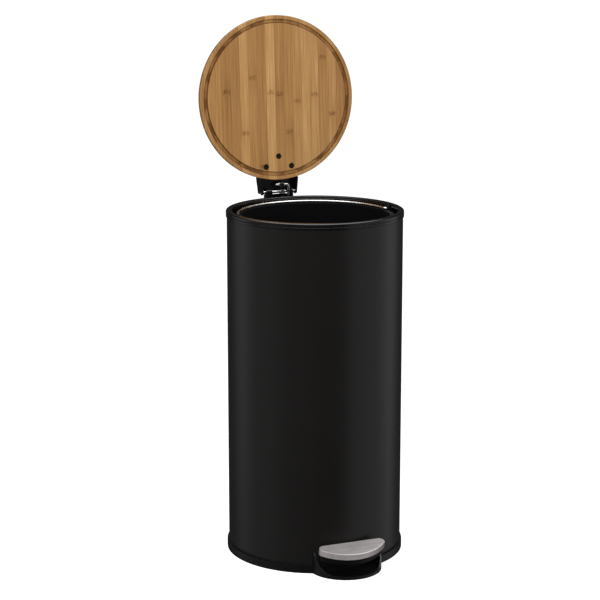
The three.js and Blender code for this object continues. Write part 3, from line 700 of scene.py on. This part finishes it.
lid_screw_nodes = ["lid_screw_1", "lid_screw_2", "lid_screw_3"]
lid_screw_points = [tuple(opened @ (Vector((x, y, lid_low)) / 1000)) for x, y in lid_screw_places]
black_steel = blackened_steel()
lid_screws = repeated(
    "lid_screws_finished", lid_screw_points, countersunk_screw(), black_steel,
    (open_angle, 0, 0), spin=math.pi, seed=5,
)
fit(lid_screws, "lid", lid_screw_nodes, black_steel)

# ---- Lift rod and damper --------------------------------------------------------------------------------
# A plated steel rod bent at both ends links the pedal's lever to the fork inside the bracket. A collar on
# it bears on an oil damper inside the column, which lets the lid down slowly.


def wire_rule():
    """Sweeps a round section along a path of straight runs, with its corners bent to one radius."""
    tree, given, keys = shape_rule("bent_wire", (
        ("Wire Radius", "NodeSocketFloat"), ("Bend Radius", "NodeSocketFloat"), ("Sides", "NodeSocketInt"),
        ("Finish", "NodeSocketMaterial"),
    ))
    line = tree.node("GeometryNodeMeshToCurve", None, {"Mesh": given["Geometry"]})
    bent = tree.node("GeometryNodeFilletCurve", {"mode": "POLY"}, {
        "Curve": line, "Radius": given["Bend Radius"], "Count": 10, "Limit Radius": True,
    })
    section = tree.node("GeometryNodeCurvePrimitiveCircle", None, {
        "Resolution": given["Sides"], "Radius": given["Wire Radius"],
    })
    swept = tree.node("GeometryNodeCurveToMesh", None, {
        "Curve": bent, "Profile Curve": section, "Fill Caps": True,
    })
    return end_rule(tree, swept, given["Finish"]), keys


wire_along_path = wire_rule()


def bent_wire(name, points, radius, bend, material, sides=20):
    """A wire along points in metres, its cut ends slightly rounded."""
    runs = [(i, i + 1) for i in range(len(points) - 1)]
    piece = shaped(name, points, runs, wire_along_path, {
        "Wire Radius": radius, "Bend Radius": bend, "Sides": sides, "Finish": material,
    })
    form = bmesh.new()
    form.from_mesh(piece.data)
    bmesh.ops.remove_doubles(form, verts=form.verts, dist=1e-7)
    bmesh.ops.recalc_face_normals(form, faces=form.faces)
    for face in form.faces:
        face.smooth = True
    form.to_mesh(piece.data)
    form.free()
    ends = piece.modifiers.new("ends", "BEVEL")
    ends.width = radius * 0.3
    ends.segments = 3
    ends.limit_method = "ANGLE"
    ends.angle_limit = math.radians(60)
    ends.harden_normals = True
    return plain(piece)


rod_low, rod_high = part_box("lift_rod")
rod_radius = 0.0025
rod_bend = 0.0045
rod_foot_end = 0.004
rod_x = rod_high.x - rod_radius
rod_y = (rod_low.y + rod_high.y) / 2
rod_foot = rod_low.z + rod_radius
rod_head = rod_high.z - rod_radius
rod_path = [
    (rod_foot_end, rod_y, rod_foot), (rod_x, rod_y, rod_foot), (rod_x, rod_y, rod_head),
    (rod_low.x, rod_y, rod_head),
]
rod = bent_wire("lift_rod_finished", rod_path, rod_radius, rod_bend, steel)
fit(rod, "rod", ["lift_rod"], steel)
for node in ("rod_clip_top", "rod_clip_bottom", "rod_collar"):
    fit(softened(node, 0.0002), "rod", [node], steel)
fit(softened("damper_body", 0.0003), "bin", ["damper_body"], steel)
fit(softened("damper_plunger", 0.0003), "plunger", ["damper_plunger"], steel)
fit(softened("damper_clamp", 0.0003), "bin", ["damper_clamp"], black_plastic)

# ---- Pedal ----------------------------------------------------------------------------------------------
# A flat steel lever under the bin turns on a pin in a folded bracket. On its front end sits a black
# moulding with a half-round cap of brushed stainless sheet, drawn down all round its edge.

for node in ("lever_bracket", "lever_pin", "lever_pin_clip_1", "lever_pin_clip_2"):
    fit(softened(node, 0.0002), "bin", [node], steel)
bracket_screw_nodes = ["lever_bracket_screw_1", "lever_bracket_screw_2"]
bracket_screws = repeated(
    "lever_bracket_screws_finished", seats(bracket_screw_nodes, z_axis), pan_screw(3), steel,
    spin=math.pi, seed=7,
)
fit(bracket_screws, "bin", bracket_screw_nodes, steel)
fit(softened("pedal_lever", 0.0004), "pedal", ["pedal_lever"], steel)
fit(softened("pedal_body", 0.0008, 3), "pedal", ["pedal_body"], black_plastic)


def brushed_steel():
    material, tree = new_finish("brushed_stainless_cap")
    lines = noise(tree, 2400, (0.012, 1, 1), detail=3, roughness=0.65)
    broad = noise(tree, 300, (0.03, 1, 1), detail=2)
    cloud = noise(tree, 26, detail=2)
    tone = lines * 0.45 + broad * 0.30 + cloud * 0.25
    surface(
        tree, 0.05, lines, 0.0002,
        Base_Color=tone.ramped(0.3, 0.7).mixed((0.38, 0.352, 0.347), (0.66, 0.622, 0.616)),
        Metallic=0.45,
        Roughness=0.26 + lines * 0.16,
    )
    return material


fit(softened("pedal_cap", 0.0003, 2, 40), "pedal", ["pedal_cap"], brushed_steel())
for node in ("pedal_screw_1", "pedal_screw_2"):
    fit(softened(node, 0.0002), "pedal", [node], steel)

# ---- Bucket ---------------------------------------------------------------------------------------------
# A tapered plastic bucket hangs inside with a flat rim and an ear each side. Its handle is a plated wire
# bent to a half ring, with each end turned out through an ear, lying back against the rim.

bucket_plastic = grained_plastic(
    "bucket_plastic", (0.0014, 0.0014, 0.0018), (0.0022, 0.0023, 0.0028), gloss=0.62, grain=900, depth=0.06,
    shine=0.15,
)
fit(softened("inner_bucket", 0.0004), "bucket", ["inner_bucket"], bucket_plastic)

bail_low, bail_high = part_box("bail_handle")
bail_z = (bail_low.z + bail_high.z) / 2
bail_radius = 0.1275
bail_wire = 0.002
bail_bend = 0.0028
bail_steps = 72
bail_angles = [0.05 + (math.pi - 0.1) * k / bail_steps for k in range(bail_steps + 1)]
bail_path = [
    (bail_high.x, 0, bail_z), (bail_radius, 0, bail_z),
    *[(bail_radius * math.cos(a), bail_radius * math.sin(a), bail_z) for a in bail_angles],
    (-bail_radius, 0, bail_z), (bail_low.x, 0, bail_z),
]
bail = bent_wire("bail_handle_finished", bail_path, bail_wire, bail_bend, steel, sides=16)
fit(bail, "bail", ["bail_handle"], steel)

# ---- Studio ---------------------------------------------------------------------------------------------
# A pale floor in a dark room with a white ceiling and tall white panels on the left and right, lit by a
# broad lamp above in front and a weak one overhead. A long lens looks slightly down at the bin.

view_turn = math.radians(-22.5)
ahead = Vector((-math.sin(view_turn), math.cos(view_turn), 0))
right = Vector((math.cos(view_turn), math.sin(view_turn), 0))


def pale_floor():
    material, tree = new_finish("pale_floor")
    to_camera = tree.node("ShaderNodeLightPath", out="Is Camera Ray")
    speck = noise(tree, 40)
    paper = speck.mixed((0.90, 0.90, 0.90), (0.93, 0.93, 0.93))
    matt = tree.node("ShaderNodeBsdfDiffuse", None, {"Color": paper})
    glow = tree.node("ShaderNodeEmission", None, {"Color": (1, 1, 1, 1), "Strength": 0.9})
    lit = tree.node("ShaderNodeAddShader", None, {0: matt, 1: glow})
    dim = tree.node("ShaderNodeBsdfDiffuse", None, {"Color": (0.30, 0.30, 0.30, 1)})
    tree.node("ShaderNodeMixShader", None, {0: to_camera, 1: dim, 2: lit}).to_surface()
    return material


floor_edge = 40
floor_corners = [(x * floor_edge, y * floor_edge, 0) for x, y in ((-1, -1), (1, -1), (1, 1), (-1, 1))]
floor_mesh = bpy.data.meshes.new("floor")
floor_mesh.from_pydata(floor_corners, [], [(0, 1, 2, 3)])
floor = new_piece("floor", floor_mesh)
floor.data.materials.append(pale_floor())
floor.visible_glossy = False


def around(angle, distance, height):
    """A point round the bin: 0 is towards the camera, positive to the camera's right."""
    a = math.radians(angle)
    return (-ahead * math.cos(a) + right * math.sin(a)) * distance + Vector((0, 0, height))


world = bpy.data.worlds.new("studio")
world.use_nodes = True
world.node_tree.nodes.clear()
room = Link(world.node_tree)
outward = room.node("ShaderNodeTexCoord", out=0)
to_camera = room.node("ShaderNodeLightPath", out="Is Camera Ray")
in_gloss = room.node("ShaderNodeLightPath", out="Is Glossy Ray")


def panel(angle, edge, core):
    """1 within the core angle of a heading round the bin, fading to 0 at the edge angle."""
    near = room.node("ShaderNodeVectorMath", {"operation": "DOT_PRODUCT"}, {
        0: outward, 1: around(angle, 1, 0),
    }, out="Value")
    return near.ramped(math.cos(math.radians(edge)), math.cos(math.radians(core)))


up = room.node("ShaderNodeSeparateXYZ", None, {0: outward}, out=2)
ceiling = up.ramped(0.60, 0.84)
shine = (
    0.04 + panel(-80, 48, 20) * 0.16 + panel(-110, 26, 6) * 0.36 + panel(-35, 55, 5) * 0.06
    + panel(84, 49, 36) * 0.31 + panel(116, 26, 8) * 0.26 + ceiling * (0.3 + in_gloss * 3.4)
)
studio = room.node("ShaderNodeBackground", None, {"Color": (1, 1, 1, 1), "Strength": shine})
white = room.node("ShaderNodeBackground", None, {"Color": (1, 1, 1, 1)})
seen = room.node("ShaderNodeMixShader", None, {0: to_camera, 1: studio, 2: white})
seen.to_surface("ShaderNodeOutputWorld")
bpy.context.scene.world = world
bpy.context.scene.view_settings.view_transform = "Standard"


def lamp(name, at, target, size, power):
    """A rectangular lamp that lights the bin without showing in its gloss."""
    data = bpy.data.lights.new(name, "AREA")
    data.shape = "RECTANGLE"
    data.size, data.size_y = size
    data.energy = power
    light = bpy.data.objects.new(name, data)
    light.location = at
    light.visible_glossy = False
    light.rotation_euler = (Vector(target) - Vector(at)).to_track_quat("-Z", "Y").to_euler()
    bpy.context.scene.collection.objects.link(light)


lamp("key", around(-6, 2.7, 1.5), (0, 0, 0.45), (1.8, 1.4), 84)
lamp("top", (0.0, 0.2, 3.0), (0, 0, 0.5), (1.5, 1.5), 6)

camera_data = bpy.data.cameras.new("camera")
camera_data.sensor_width = 36
camera_data.lens = 112.8
camera = bpy.data.objects.new("camera", camera_data)
camera_distance = 3.0704
camera_height = 1.0897
camera_left = 0.02467
tilt = math.radians(12.16)
forward = ahead * math.cos(tilt) + Vector((0, 0, -math.sin(tilt)))
camera_at = -ahead * camera_distance - right * camera_left + Vector((0, 0, camera_height))
above = right.cross(forward)
camera.matrix_world = Matrix.Translation(camera_at) @ Matrix((right, above, -forward)).transposed().to_4x4()
bpy.context.scene.collection.objects.link(camera)
bpy.context.scene.camera = camera
